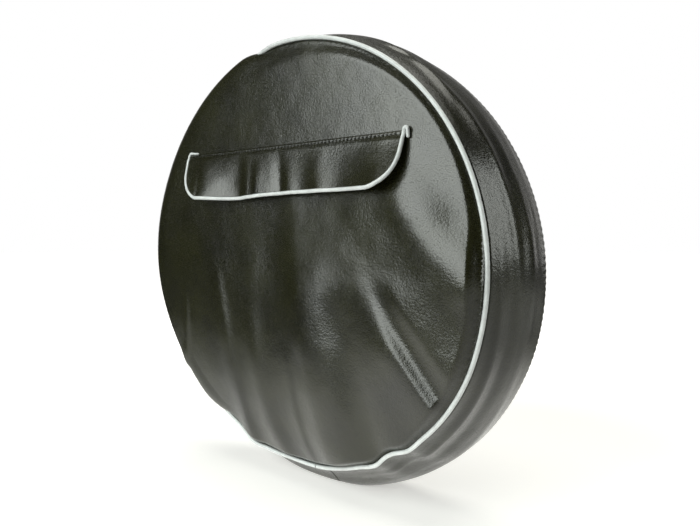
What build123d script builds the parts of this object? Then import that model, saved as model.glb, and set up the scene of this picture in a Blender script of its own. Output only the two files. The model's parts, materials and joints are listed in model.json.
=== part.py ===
"""Cover for the spare wheel of a motor scooter: a leatherette drum that slips over a 3.50-10 tyre.

A round front panel and a strip that goes round the tread are sewn together with grey piping in
the seam. The strip's rear edge runs over the tyre's shoulder into a casing with elastic cord.
The front panel has a slit with a document pocket behind it, under a flap with grey piping.

The wheel's axle lies along Y, the front faces -Y and +Z is up. The origin is the centre of the
space that the tyre fills. All lengths are in millimetres.
"""

import math
import os

from build123d import *

# The tyre that the cover is made for
TYRE_RADIUS = 215.0

# Leatherette, and the gap left between sewn layers
SHEET = 1.5
PLY_GAP = 0.1

# Drum, as radius from the axle and place along it
CROWN_RADIUS = TYRE_RADIUS + SHEET + 1.0
CROWN_ARC_RADIUS = 172.0
CROWN_FRONT_Y = -48.6
CROWN_REAR_Y = 34.0
SHOULDER_ARC_RADIUS = 17.0
SHOULDER_END_ANGLE = 88.0
FLOOR_Z = -(CROWN_RADIUS - 4.0)
BAND_JOINT_ANGLE = 275.0
BAND_JOINT_WIDTH = 20.0

# Front panel and its seam
PANEL_FRONT_Y = -52.0
PANEL_BACK_Y = PANEL_FRONT_Y + SHEET
PIPING_RADIUS = 1.9
PIPING_CORE_RADIUS = 1.2
PIPING_RING_RADIUS = 209.0
PIPING_Y = -51.0
PIPING_JOINT_ANGLE = 273.0
PIPING_JOINT_GAP = 0.8
PANEL_RADIUS = PIPING_RING_RADIUS - PIPING_RADIUS - PLY_GAP
PIPING_TAPE = 0.6
ALLOWANCE_END_Y = -44.0
THREAD_RADIUS = 0.35

# Elastic casing at the mouth
CASING_RADIUS = 190.4
CASING_WIDTH = 14.0
CASING_DEPTH = 7.0
CASING_Y = 47.2
ELASTIC_RADIUS = 2.2

# Pocket flap: its fold is the top edge, and it turns about the stitch row below the fold
FLAP_X = 0.0
FLAP_FOLD_Z = 113.5
FLAP_HINGE_Z = 109.0
FLAP_HINGE_Y = -55.8
FLAP_LEAN = 14.0
FLAP_HALF_WIDTH = 138.0
FLAP_DROP = 42.0
FLAP_CORNER_RADIUS = 28.0
FLAP_TOP_GAP = 0.6
FLAP_PIPING_RADIUS = 1.7
FLAP_CORE_RADIUS = 1.0
FLAP_PIPING_TOP = 5.0
FLAP_PLY = 1.4
FLAP_LINING = 1.0
FLAP_THICKNESS = 3.0
FLAP_TAPE_WIDTH = 8.0
HEADING_FRONT_Y = -55.5
TAIL_RADIUS = 1.5
TAIL_BEND = 1.7
TAIL_HANG = 5.0

# Stitches along the flap's top edge
STITCH_PITCH = 4.2
STITCH_LENGTH = 2.8
STITCH_RADIUS = 0.4

# Hook and loop closure
CLOSURE_WIDTH = 60.0
CLOSURE_HEIGHT = 14.0
CLOSURE_PLY = 1.2
CLOSURE_DROP = 28.0
CLOSURE_THREAD = 0.6

# Pocket behind the panel
MOUTH_WIDTH = 250.0
MOUTH_HEIGHT = 12.0
MOUTH_Z = 101.0
FACING_MARGIN = 7.0
FACING_PLY = 0.9
POCKET_WIDTH = 264.0
POCKET_TOP_Z = 112.0
POCKET_BOTTOM_Z = -50.0
POCKET_PLY = 0.8
POCKET_GAP = 8.0
POCKET_FLANGE = 9.0
POCKET_CORNER = 8.0
TACK_WIDTH = 1.6
TACK_HEIGHT = 12.0

os.makedirs("parts", exist_ok=True)


def save(piece, label):
    """Labels a finished piece and writes it as a STEP file of that name."""
    piece.label = label
    export_step(piece, f"parts/{label}.step")


def plane_at(y):
    """A plane that faces the front, -Y, at that place along the axle."""
    return Plane.XZ.offset(-y)


def spoke_plane(angle):
    """The plane through the axle at that angle round it: its x is radius, its y is along the axle."""
    turn = math.radians(angle)
    outwards = (math.cos(turn), 0, math.sin(turn))
    return Plane(origin=(0, 0, 0), x_dir=outwards, z_dir=(-math.sin(turn), 0, math.cos(turn)))


# ---------------------------------------------------------------- side band
# Its section is two arcs, the crown over the tread and the shoulder behind it, which share a tangent.
crown_centre_r = CROWN_RADIUS - CROWN_ARC_RADIUS
crown_front_angle = math.degrees(math.asin(CROWN_FRONT_Y / CROWN_ARC_RADIUS))
crown_rear_angle = math.degrees(math.asin(CROWN_REAR_Y / CROWN_ARC_RADIUS))
shoulder_reach = CROWN_ARC_RADIUS - SHOULDER_ARC_RADIUS
shoulder_centre = (
    crown_centre_r + shoulder_reach * math.cos(math.radians(crown_rear_angle)),
    shoulder_reach * math.sin(math.radians(crown_rear_angle)),
)


def band_arcs(inset):
    """The two arcs of the band's section, that far inside its outer surface."""
    crown = CenterArc(
        (crown_centre_r, 0),
        CROWN_ARC_RADIUS - inset,
        crown_front_angle,
        crown_rear_angle - crown_front_angle,
    )
    shoulder = CenterArc(
        shoulder_centre,
        SHOULDER_ARC_RADIUS - inset,
        crown_rear_angle,
        SHOULDER_END_ANGLE - crown_rear_angle,
    )
    return crown, shoulder


def band_shell(inset, thickness):
    """A ring with the band's section, flattened at the bottom where the cover stands."""
    floor_z = FLOOR_Z + inset
    with BuildPart() as filled:
        with BuildSketch():
            with BuildLine():
                crown, shoulder = band_arcs(inset)
                Polyline(shoulder @ 1, (0, (shoulder @ 1).Y), (0, (crown @ 0).Y), crown @ 0)
            make_face()
        revolve(axis=Axis.Y)
        split(bisect_by=Plane.XY.offset(floor_z + thickness), keep=Keep.BOTTOM)
        split(bisect_by=Plane.XY.offset(floor_z), keep=Keep.TOP)
    with BuildPart() as shell:
        with BuildSketch():
            with BuildLine():
                crown, shoulder = band_arcs(inset)
                inner_crown, inner_shoulder = band_arcs(inset + thickness)
                Line(crown @ 0, inner_crown @ 0)
                Line(shoulder @ 1, inner_shoulder @ 1)
            make_face()
        revolve(axis=Axis.Y)
        split(bisect_by=Plane.XY.offset(floor_z), keep=Keep.TOP)
        add(filled.part)
    return shell.part


# The front edge turns in against the piping's tape as a seam allowance.
band_front_radius = crown_centre_r + CROWN_ARC_RADIUS * math.cos(math.radians(crown_front_angle))
allowance_inner = PIPING_RING_RADIUS - PIPING_RADIUS + PIPING_TAPE + PLY_GAP
with BuildPart() as side_band:
    add(band_shell(0, SHEET))
    with BuildSketch(plane_at(ALLOWANCE_END_Y)):
        Circle(band_front_radius - SHEET / 2)
        Circle(allowance_inner, mode=Mode.SUBTRACT)
    extrude(amount=ALLOWANCE_END_Y - CROWN_FRONT_Y)
save(side_band.part, "side_band")

# The strip's two ends are turned in and laid open, inside its joint near the bottom.
joint_x = -FLOOR_Z / math.tan(math.radians(360 - BAND_JOINT_ANGLE))
with BuildPart() as band_joint_allowance:
    add(band_shell(SHEET + PLY_GAP, SHEET))
    with BuildSketch():
        with Locations((joint_x, (ALLOWANCE_END_Y + CROWN_REAR_Y) / 2 + 1)):
            Rectangle(BAND_JOINT_WIDTH, CROWN_REAR_Y - ALLOWANCE_END_Y - 4)
    extrude(amount=FLOOR_Z - SHEET, mode=Mode.INTERSECT)
save(band_joint_allowance.part, "band_joint_allowance")

# ---------------------------------------------------------------- front panel
with BuildPart() as front_panel:
    with BuildSketch(plane_at(PANEL_BACK_Y)):
        Circle(PANEL_RADIUS)
        with Locations((FLAP_X, MOUTH_Z)):
            SlotOverall(MOUTH_WIDTH, MOUTH_HEIGHT, mode=Mode.SUBTRACT)
    extrude(amount=SHEET)
    with BuildSketch(plane_at(ALLOWANCE_END_Y)):
        Circle(PANEL_RADIUS)
        Circle(PANEL_RADIUS - SHEET, mode=Mode.SUBTRACT)
    extrude(amount=ALLOWANCE_END_Y - PANEL_BACK_Y)
save(front_panel.part, "front_panel")

# ---------------------------------------------------------------- rim piping
# A sleeve round a cord, with a tape that is caught in the seam. Its ends meet at the bottom.
joint_arc = math.degrees(PIPING_JOINT_GAP / PIPING_RING_RADIUS)
piping_plane = spoke_plane(PIPING_JOINT_ANGLE)
tape_inner = PIPING_RING_RADIUS - PIPING_RADIUS
with BuildPart() as rim_piping:
    with BuildSketch(piping_plane):
        with Locations((tape_inner + PIPING_TAPE / 2, (PIPING_Y + ALLOWANCE_END_Y) / 2)):
            Rectangle(PIPING_TAPE, ALLOWANCE_END_Y - PIPING_Y)
        with Locations((PIPING_RING_RADIUS, PIPING_Y)):
            Circle(PIPING_RADIUS)
            Circle(PIPING_CORE_RADIUS, mode=Mode.SUBTRACT)
    revolve(axis=Axis.Y, revolution_arc=360 - joint_arc)
save(rim_piping.part, "rim_piping")

with BuildPart() as rim_piping_core:
    with BuildSketch(piping_plane):
        with Locations((PIPING_RING_RADIUS, PIPING_Y)):
            Circle(PIPING_CORE_RADIUS - PLY_GAP)
    revolve(axis=Axis.Y, revolution_arc=360 - joint_arc)
save(rim_piping_core.part, "rim_piping_core")

with BuildPart() as rim_seam_thread:
    with BuildSketch():
        with Locations((PANEL_RADIUS - SHEET - THREAD_RADIUS - PLY_GAP, PIPING_Y + 6)):
            Circle(THREAD_RADIUS)
    revolve(axis=Axis.Y)
save(rim_seam_thread.part, "rim_seam_thread")

# ---------------------------------------------------------------- elastic mouth
with BuildPart() as elastic_casing:
    with BuildSketch():
        with Locations((CASING_RADIUS, CASING_Y)):
            RectangleRounded(CASING_WIDTH, CASING_DEPTH, CASING_DEPTH * 0.4)
            Circle(ELASTIC_RADIUS + PLY_GAP, mode=Mode.SUBTRACT)
    revolve(axis=Axis.Y)
save(elastic_casing.part, "elastic_casing")

with BuildPart() as elastic_cord:
    with BuildSketch():
        with Locations((CASING_RADIUS, CASING_Y)):
            Circle(ELASTIC_RADIUS)
    revolve(axis=Axis.Y)
save(elastic_cord.part, "elastic_cord")

casing_back_y = CASING_Y + CASING_DEPTH / 2
with BuildPart() as casing_thread:
    with BuildSketch():
        with Locations((CASING_RADIUS + 3.5, casing_back_y + THREAD_RADIUS + PLY_GAP)):
            Circle(THREAD_RADIUS)
    revolve(axis=Axis.Y)
save(casing_thread.part, "casing_thread")

# ---------------------------------------------------------------- pocket
facing_y = PANEL_BACK_Y + PLY_GAP + FACING_PLY
with BuildPart() as mouth_facing:
    with BuildSketch(plane_at(facing_y)):
        with Locations((FLAP_X, MOUTH_Z)):
            RectangleRounded(MOUTH_WIDTH + FACING_MARGIN, MOUTH_HEIGHT + FACING_MARGIN, 3)
            SlotOverall(MOUTH_WIDTH, MOUTH_HEIGHT, mode=Mode.SUBTRACT)
    extrude(amount=FACING_PLY)
save(mouth_facing.part, "mouth_facing")

pocket_z = (POCKET_TOP_Z + POCKET_BOTTOM_Z) / 2
pocket_height = POCKET_TOP_Z - POCKET_BOTTOM_Z
bag_front_y = facing_y + PLY_GAP + POCKET_PLY
with BuildPart() as pocket_bag_front:
    with BuildSketch(plane_at(bag_front_y)):
        with Locations((FLAP_X, pocket_z)):
            RectangleRounded(POCKET_WIDTH, pocket_height, POCKET_CORNER)
        with Locations((FLAP_X, MOUTH_Z)):
            SlotOverall(MOUTH_WIDTH, MOUTH_HEIGHT, mode=Mode.SUBTRACT)
    extrude(amount=POCKET_PLY)
save(pocket_bag_front.part, "pocket_bag_front")

# The rear half of the bag is a shallow tray, so that papers have room, with a flange to sew.
flange_y = bag_front_y + PLY_GAP + POCKET_PLY
tray_width = POCKET_WIDTH - POCKET_FLANGE
tray_height = pocket_height - POCKET_FLANGE
with BuildPart() as pocket_bag_back:
    with BuildSketch(plane_at(flange_y)):
        with Locations((FLAP_X, pocket_z)):
            RectangleRounded(POCKET_WIDTH, pocket_height, POCKET_CORNER)
            RectangleRounded(
                tray_width - 2 * POCKET_PLY,
                tray_height - 2 * POCKET_PLY,
                POCKET_CORNER - POCKET_PLY,
                mode=Mode.SUBTRACT,
            )
    extrude(amount=POCKET_PLY)
    with BuildSketch(plane_at(flange_y + POCKET_GAP)):
        with Locations((FLAP_X, pocket_z)):
            RectangleRounded(tray_width, tray_height, POCKET_CORNER)
            RectangleRounded(
                tray_width - 2 * POCKET_PLY,
                tray_height - 2 * POCKET_PLY,
                POCKET_CORNER - POCKET_PLY,
                mode=Mode.SUBTRACT,
            )
    extrude(amount=POCKET_GAP)
    with BuildSketch(plane_at(flange_y + POCKET_GAP + POCKET_PLY)):
        with Locations((FLAP_X, pocket_z)):
            RectangleRounded(tray_width, tray_height, POCKET_CORNER)
    extrude(amount=POCKET_PLY)
save(pocket_bag_back.part, "pocket_bag_back")

with BuildPart() as pocket_bag_thread:
    with BuildSketch(plane_at(flange_y + PLY_GAP + 2 * THREAD_RADIUS)):
        with Locations((FLAP_X, pocket_z)):
            row_inset = POCKET_FLANGE / 2
            RectangleRounded(POCKET_WIDTH - row_inset, pocket_height - row_inset, POCKET_CORNER)
            RectangleRounded(
                POCKET_WIDTH - row_inset - 4 * THREAD_RADIUS,
                pocket_height - row_inset - 4 * THREAD_RADIUS,
                POCKET_CORNER - 2 * THREAD_RADIUS,
                mode=Mode.SUBTRACT,
            )
    extrude(amount=2 * THREAD_RADIUS)
save(pocket_bag_thread.part, "pocket_bag_thread")

with BuildPart() as mouth_bar_tacks:
    with BuildSketch(plane_at(PANEL_FRONT_Y)):
        with Locations((FLAP_X, MOUTH_Z)):
            with GridLocations(MOUTH_WIDTH + 4, 0, 2, 1):
                Rectangle(TACK_WIDTH, TACK_HEIGHT)
    extrude(amount=2 * THREAD_RADIUS)
save(mouth_bar_tacks.part, "mouth_bar_tacks")

# ---------------------------------------------------------------- flap, fixed part
# The flap's cloth is folded at the top and stitched down; the heading is what lies above the row.
heading_height = FLAP_FOLD_Z - FLAP_HINGE_Z
heading_half_width = FLAP_HALF_WIDTH - FLAP_PIPING_RADIUS
with BuildPart() as flap_heading:
    with BuildSketch(plane_at(PANEL_FRONT_Y - PLY_GAP)):
        with Locations((FLAP_X, FLAP_HINGE_Z + heading_height / 2)):
            Rectangle(2 * heading_half_width, heading_height)
    extrude(amount=PANEL_FRONT_Y - PLY_GAP - HEADING_FRONT_Y)
    fillet(flap_heading.edges().filter_by(Axis.X).group_by(Axis.Z)[-1].sort_by(Axis.Y)[0], 1.2)
save(flap_heading.part, "flap_heading")

stitch_count = int((2 * heading_half_width - 6) / STITCH_PITCH)
with BuildPart() as flap_seam_stitches:
    with BuildSketch(plane_at(HEADING_FRONT_Y)):
        with Locations((FLAP_X, FLAP_HINGE_Z + 1.6)):
            with GridLocations(STITCH_PITCH, 0, stitch_count, 1):
                SlotOverall(STITCH_LENGTH, 2 * STITCH_RADIUS)
    extrude(amount=STITCH_RADIUS)
save(flap_seam_stitches.part, "flap_seam_stitches")

# The ends of the flap's piping: the right one is bent over and down, the left one lies on the fold.
tail_y = PANEL_FRONT_Y - TAIL_RADIUS - PLY_GAP
right_x = FLAP_X + FLAP_HALF_WIDTH
left_x = FLAP_X - FLAP_HALF_WIDTH
bend_z = FLAP_HINGE_Z + 1.5
left_tail_z = FLAP_FOLD_Z + TAIL_RADIUS + PLY_GAP
with BuildPart() as flap_piping_ends:
    with BuildLine(plane_at(tail_y)):
        Line((right_x, FLAP_HINGE_Z), (right_x, bend_z))
        CenterArc((right_x + TAIL_BEND, bend_z), TAIL_BEND, 180, -180)
        Line((right_x + 2 * TAIL_BEND, bend_z), (right_x + 2 * TAIL_BEND, bend_z - TAIL_HANG))
    with BuildSketch(Plane.XY.offset(FLAP_HINGE_Z)):
        with Locations((right_x, tail_y)):
            Circle(TAIL_RADIUS)
    sweep()
    with BuildLine(plane_at(tail_y)) as left_end:
        FilletPolyline(
            (left_x, FLAP_HINGE_Z),
            (left_x, left_tail_z),
            (left_x + 9, left_tail_z),
            radius=TAIL_BEND,
        )
    with BuildSketch(Plane.XY.offset(FLAP_HINGE_Z)) as left_section:
        with Locations((left_x, tail_y)):
            Circle(TAIL_RADIUS)
    sweep(sections=left_section.sketch, path=left_end.line)
save(flap_piping_ends.part, "flap_piping_ends")

# ---------------------------------------------------------------- flap, moving part
# In this plane x is along the hinge, y is up the flap from the hinge, and z is out of its face.
lean = math.radians(FLAP_LEAN)
flap_plane = Plane(
    origin=(FLAP_X, FLAP_HINGE_Y, FLAP_HINGE_Z),
    x_dir=(1, 0, 0),
    z_dir=(0, -math.cos(lean), math.sin(lean)),
)


def flap_sides(inset, top):
    """Down one side of the flap, along the bottom and up the other, inside the piping's centre."""
    half = FLAP_HALF_WIDTH - inset
    bottom = inset - FLAP_DROP
    return FilletPolyline(
        (-half, -top),
        (-half, bottom),
        (half, bottom),
        (half, -top),
        radius=FLAP_CORNER_RADIUS - inset,
    )


ply_inset = FLAP_PIPING_RADIUS + PLY_GAP
with BuildPart() as flap_outer:
    with BuildSketch(flap_plane):
        with BuildLine():
            sides = flap_sides(ply_inset, FLAP_TOP_GAP)
            Line(sides @ 1, sides @ 0)
        make_face()
    extrude(amount=-FLAP_PLY)
save(flap_outer.part, "flap_outer")

with BuildPart() as flap_lining:
    with BuildSketch(flap_plane.offset(-FLAP_THICKNESS)):
        with BuildLine():
            sides = flap_sides(ply_inset, FLAP_TOP_GAP)
            Line(sides @ 1, sides @ 0)
        make_face()
    extrude(amount=FLAP_LINING)
save(flap_lining.part, "flap_lining")

bead_depth = (FLAP_PLY + FLAP_THICKNESS - FLAP_LINING) / 2
bead_plane = flap_plane.offset(-bead_depth)
tape_inset = (FLAP_PIPING_RADIUS + FLAP_CORE_RADIUS) / 2
tape_ply = FLAP_THICKNESS - FLAP_PLY - FLAP_LINING - 2 * PLY_GAP
with BuildPart() as flap_piping:
    with BuildLine(bead_plane) as bead_line:
        flap_sides(0, FLAP_PIPING_TOP)
    with BuildSketch(Plane(origin=bead_line.line @ 0, z_dir=bead_line.line % 0)) as bead_section:
        Circle(FLAP_PIPING_RADIUS)
    sweep(sections=bead_section.sketch, path=bead_line.line)
    with BuildSketch(bead_plane.offset(-tape_ply / 2)):
        with BuildLine():
            outer_side = flap_sides(tape_inset, FLAP_PIPING_TOP)
            inner_side = flap_sides(tape_inset + FLAP_TAPE_WIDTH, FLAP_PIPING_TOP)
            Line(outer_side @ 0, inner_side @ 0)
            Line(outer_side @ 1, inner_side @ 1)
        make_face()
    extrude(amount=tape_ply)
    with BuildSketch(Plane(origin=bead_line.line @ 0, z_dir=bead_line.line % 0)) as bore_section:
        Circle(FLAP_CORE_RADIUS + PLY_GAP)
    sweep(sections=bore_section.sketch, path=bead_line.line, mode=Mode.SUBTRACT)
save(flap_piping.part, "flap_piping")

with BuildPart() as flap_piping_core:
    with BuildLine(bead_plane) as core_line:
        flap_sides(0, FLAP_PIPING_TOP)
    with BuildSketch(Plane(origin=core_line.line @ 0, z_dir=core_line.line % 0)) as core_section:
        Circle(FLAP_CORE_RADIUS)
    sweep(sections=core_section.sketch, path=core_line.line)
save(flap_piping_core.part, "flap_piping_core")

# ---------------------------------------------------------------- hook and loop closure
with BuildPart() as hook_strip:
    with BuildSketch(flap_plane.offset(-FLAP_THICKNESS - PLY_GAP)):
        with Locations((0, -CLOSURE_DROP)):
            RectangleRounded(CLOSURE_WIDTH, CLOSURE_HEIGHT, 2)
    extrude(amount=-CLOSURE_PLY)
save(hook_strip.part, "hook_strip")

with BuildPart() as hook_strip_thread:
    with BuildSketch(flap_plane.offset(-FLAP_THICKNESS - CLOSURE_PLY - PLY_GAP)):
        with Locations((0, -CLOSURE_DROP)):
            RectangleRounded(CLOSURE_WIDTH - 4, CLOSURE_HEIGHT - 4, 1)
            RectangleRounded(
                CLOSURE_WIDTH - 4 - 2 * CLOSURE_THREAD,
                CLOSURE_HEIGHT - 4 - 2 * CLOSURE_THREAD,
                0.3,
                mode=Mode.SUBTRACT,
            )
    extrude(amount=-CLOSURE_THREAD / 2)
save(hook_strip_thread.part, "hook_strip_thread")

loop_z = FLAP_HINGE_Z - CLOSURE_DROP
with BuildPart() as loop_strip:
    with BuildSketch(plane_at(PANEL_FRONT_Y)):
        with Locations((FLAP_X, loop_z)):
            RectangleRounded(CLOSURE_WIDTH, CLOSURE_HEIGHT, 2)
    extrude(amount=CLOSURE_PLY)
save(loop_strip.part, "loop_strip")

with BuildPart() as loop_strip_thread:
    with BuildSketch(plane_at(PANEL_FRONT_Y - CLOSURE_PLY)):
        with Locations((FLAP_X, loop_z)):
            RectangleRounded(CLOSURE_WIDTH - 4, CLOSURE_HEIGHT - 4, 1)
            RectangleRounded(
                CLOSURE_WIDTH - 4 - 2 * CLOSURE_THREAD,
                CLOSURE_HEIGHT - 4 - 2 * CLOSURE_THREAD,
                0.3,
                mode=Mode.SUBTRACT,
            )
    extrude(amount=CLOSURE_THREAD / 2)
save(loop_strip_thread.part, "loop_strip_thread")
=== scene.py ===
"""The looks of the spare tyre cover: slack, creased leatherette with grey piping, on a pale floor.

Shapes are worked out in millimetres in the part's own frame (the front faces -Y, +Z is up and the
axle lies along Y) and turned into metres when a mesh is made. Angles go round the axle in degrees,
from +X through +Z, as they are seen from the front.
"""

import json
import math

import bpy
import numpy as np
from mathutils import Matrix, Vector
from mathutils.geometry import delaunay_2d_cdt


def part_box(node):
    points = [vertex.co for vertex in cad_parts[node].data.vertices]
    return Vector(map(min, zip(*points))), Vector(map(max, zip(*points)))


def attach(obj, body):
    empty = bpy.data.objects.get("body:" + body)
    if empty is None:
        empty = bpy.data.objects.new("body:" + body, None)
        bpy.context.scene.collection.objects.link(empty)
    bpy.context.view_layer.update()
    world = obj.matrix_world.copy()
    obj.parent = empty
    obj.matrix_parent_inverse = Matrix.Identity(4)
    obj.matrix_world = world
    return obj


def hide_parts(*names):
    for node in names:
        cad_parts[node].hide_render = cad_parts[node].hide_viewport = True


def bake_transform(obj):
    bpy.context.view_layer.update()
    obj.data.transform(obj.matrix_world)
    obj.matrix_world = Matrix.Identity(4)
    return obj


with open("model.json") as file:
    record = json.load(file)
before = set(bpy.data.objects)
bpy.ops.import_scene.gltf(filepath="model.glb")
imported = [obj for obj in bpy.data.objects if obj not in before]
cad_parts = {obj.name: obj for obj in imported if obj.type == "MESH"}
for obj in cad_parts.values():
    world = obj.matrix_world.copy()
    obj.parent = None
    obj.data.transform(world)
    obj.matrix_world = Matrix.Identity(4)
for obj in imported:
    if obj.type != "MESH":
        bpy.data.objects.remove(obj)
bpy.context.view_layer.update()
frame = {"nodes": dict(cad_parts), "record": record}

MM = 0.001


# --- sizes, from the frame
def box_mm(node):
    """The lowest and highest corner of a CAD node at rest, in millimetres."""
    low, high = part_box(node)
    return np.array(low) / MM, np.array(high) / MM


def middle_and_half(node):
    """The middle of a CAD node's box and half its size each way, in millimetres."""
    low, high = box_mm(node)
    return (low + high) / 2, (high - low) / 2


panel_low, panel_high = box_mm("front_panel")
band_low, band_high = box_mm("side_band")
bead_low, bead_high = box_mm("rim_piping")
bag_low, bag_high = box_mm("pocket_bag_back")
casing_middle, casing_half = middle_and_half("elastic_casing")
heading_middle, heading_half = middle_and_half("flap_heading")
flap_middle, flap_half = middle_and_half("flap_piping")
facing_middle, facing_half = middle_and_half("mouth_facing")
loop_middle, loop_half = middle_and_half("loop_strip")
hook_middle = middle_and_half("hook_strip")[0]

BEAD_RADIUS = 1.9
RIM_RADIUS = bead_high[0] - BEAD_RADIUS
RIM_Y = bead_low[1] + BEAD_RADIUS
PANEL_RADIUS = panel_high[0]
PANEL_Y = panel_low[1]
CROWN_RADIUS = band_high[0]
FLOOR_Z = band_low[2]
SHEET = 1.2

# --- camera
CAMERA_AZIMUTH = 40.5
CAMERA_ELEVATION = 2.31
CAMERA_DISTANCE = 0.6866
CAMERA_RIGHT = 0.0262
CAMERA_UP = 0.0024
LENS = 35.85


def at_direction(azimuth, elevation, distance):
    """A place in that direction: azimuth 0 is in front of the panel and grows to the right."""
    a, e = math.radians(azimuth), math.radians(elevation)
    flat = distance * math.cos(e)
    return Vector((math.sin(a) * flat, -math.cos(a) * flat, distance * math.sin(e)))


def add_aimed(name, data, place, aim):
    """A camera or lamp at a place, looking along aim."""
    thing = bpy.data.objects.new(name, data)
    thing.location = place
    thing.rotation_mode = "QUATERNION"
    thing.rotation_quaternion = aim.to_track_quat("-Z", "Y")
    bpy.context.scene.collection.objects.link(thing)
    return thing


def add_camera():
    """A camera near the cover, looking a little down on it from the right."""
    back = at_direction(CAMERA_AZIMUTH, CAMERA_ELEVATION, 1)
    right = at_direction(CAMERA_AZIMUTH + 90, 0, 1)
    up = back.cross(right)
    data = bpy.data.cameras.new("camera")
    data.lens = LENS
    place = back * CAMERA_DISTANCE + right * CAMERA_RIGHT + up * CAMERA_UP
    bpy.context.scene.camera = add_aimed("camera", data, place, -back)


add_camera()


# --- small mathematics
def smooth(t):
    """0 below 0, 1 above 1, and an S between them."""
    t = np.clip(t, 0, 1)
    return t * t * (3 - 2 * t)


def bell(distance):
    """1 at no distance, falling to about a third at 1."""
    return np.exp(-distance * distance)


def angle_apart(angle, centre):
    """How far angle lies past centre, from -180 to 180 degrees."""
    return (angle - centre + 180) % 360 - 180


def hump(angle, centre, half_width):
    """1 at the centre angle, falling smoothly to 0 at half_width degrees either side of it."""
    away = np.abs(angle_apart(angle, centre))
    return np.where(away < half_width, 0.5 + 0.5 * np.cos(np.pi * away / half_width), 0.0)


def humps(angle, table):
    """The sum of a table's humps, each (centre angle, half width, amount)."""
    return sum(amount * hump(angle, centre, half) for centre, half, amount in table)


def lattice(i, j, k, seed):
    """A repeatable number from -1 to 1 for each corner of a grid of cells."""
    mixed = i * 374761393 + j * 668265263 + k * 1274126177 + seed * 362437
    mixed = (mixed ^ (mixed >> 13)) * 1274126177
    mixed = mixed ^ (mixed >> 16)
    return (mixed & 0xFFFF) / 32767.5 - 1


def noise(points, cell, seed):
    """Smooth noise from -1 to 1 at each point, with bumps about one cell across."""
    scaled = np.asarray(points, float) / cell
    low = np.floor(scaled).astype(np.int64)
    part = scaled - low
    part = part * part * (3 - 2 * part)
    total = np.zeros(len(scaled))
    for corner in np.ndindex(2, 2, 2):
        weight = np.prod(np.where(corner, part, 1 - part), axis=1)
        total += weight * lattice(*(low + corner).T, seed)
    return total


def places(x, y, z):
    """One array of points from three arrays of any shape."""
    return np.stack(np.broadcast_arrays(x, y, z), axis=-1)


def noise_at(x, y, z, cell, seed):
    points = places(x, y, z)
    return noise(points.reshape(-1, 3), cell, seed).reshape(points.shape[:-1])


def unit(vector):
    return vector / np.linalg.norm(vector)


# --- meshes
def make_mesh(name, points, faces, *materials):
    """A smooth-shaded object from points in millimetres."""
    mesh = bpy.data.meshes.new(name)
    corners = np.asarray(points, float).reshape(-1, 3) * MM
    mesh.from_pydata(corners.tolist(), [], faces)
    mesh.polygons.foreach_set("use_smooth", [True] * len(mesh.polygons))
    for material in materials:
        mesh.materials.append(material)
    mesh.update()
    piece = bpy.data.objects.new(name, mesh)
    bpy.context.scene.collection.objects.link(piece)
    return piece


def stand_for(piece, body, slot, *nodes):
    """Makes a piece move with a body, when it is given one, and take the place of CAD nodes."""
    if body:
        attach(piece, body)
    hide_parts(*nodes)


def grid_faces(rows, columns, closed=False, ring=False, flip=False):
    """Quads over points stored row by row; closed joins each row's ends, ring the last row to the first."""
    index = np.arange(rows * columns).reshape(rows, columns)
    if ring:
        index = np.vstack([index, index[:1]])
    if closed:
        index = np.hstack([index, index[:, :1]])
    corners = [index[:-1, :-1], index[:-1, 1:], index[1:, 1:], index[1:, :-1]]
    if flip:
        corners.reverse()
    return np.stack(corners, axis=-1).reshape(-1, 4).tolist()


def make_grid(name, grid, *materials, **joins):
    """The same from rows of points, as grid_faces joins them."""
    return make_mesh(name, grid, grid_faces(*grid.shape[:2], **joins), *materials)


def thicken(piece, thickness):
    """Gives a sheet its thickness, behind the face that it shows."""
    shell = piece.modifiers.new("thickness", "SOLIDIFY")
    shell.thickness = thickness * MM
    shell.offset = -1
    shell.material_offset = len(piece.data.materials) - 1


def tube_rings(path, radii, sides):
    """Rings of points round a path, turned as little as possible from each one to the next."""
    along = np.gradient(path, axis=0)
    along /= np.linalg.norm(along, axis=1)[:, None]
    side = np.cross(along[0], (0.0, 1.0, 0.0))
    if np.linalg.norm(side) < 0.1:
        side = np.cross(along[0], (0.0, 0.0, 1.0))
    turn = np.linspace(0, 2 * np.pi, sides, endpoint=False)
    rings = []
    for centre, direction, radius in zip(path, along, radii):
        side = unit(side - direction * side.dot(direction))
        other = np.cross(direction, side)
        rings.append(centre + radius * (np.cos(turn)[:, None] * side + np.sin(turn)[:, None] * other))
    return np.concatenate(rings)


ROUND_END = np.array((0.05, 0.45, 0.75, 0.93))


def tube(path, radius, sides=14, rounded=True):
    """Points and faces of a tube along an open path, with its ends closed."""
    path = np.asarray(path, float)
    radii = np.broadcast_to(radius, len(path)).astype(float)
    if rounded:
        reach = np.sqrt(1 - ROUND_END * ROUND_END)
        start = path[0] + unit(path[0] - path[1]) * radii[0] * reach[:, None]
        end = path[-1] + unit(path[-1] - path[-2]) * radii[-1] * reach[::-1, None]
        path = np.concatenate([start, path, end])
        radii = np.concatenate([radii[0] * ROUND_END, radii, radii[-1] * ROUND_END[::-1]])
    points = tube_rings(path, radii, sides)
    faces = grid_faces(len(path), sides, closed=True)
    faces.append(list(range(sides)))
    last_ring = (len(path) - 1) * sides
    faces.append([last_ring + i for i in reversed(range(sides))])
    return points, faces


def join_parts(parts):
    """Several (points, faces) as one."""
    points, faces, count = [], [], 0
    for some_points, some_faces in parts:
        points.append(some_points)
        faces.extend([[i + count for i in face] for face in some_faces])
        count += len(some_points)
    return np.concatenate(points), faces


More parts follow.
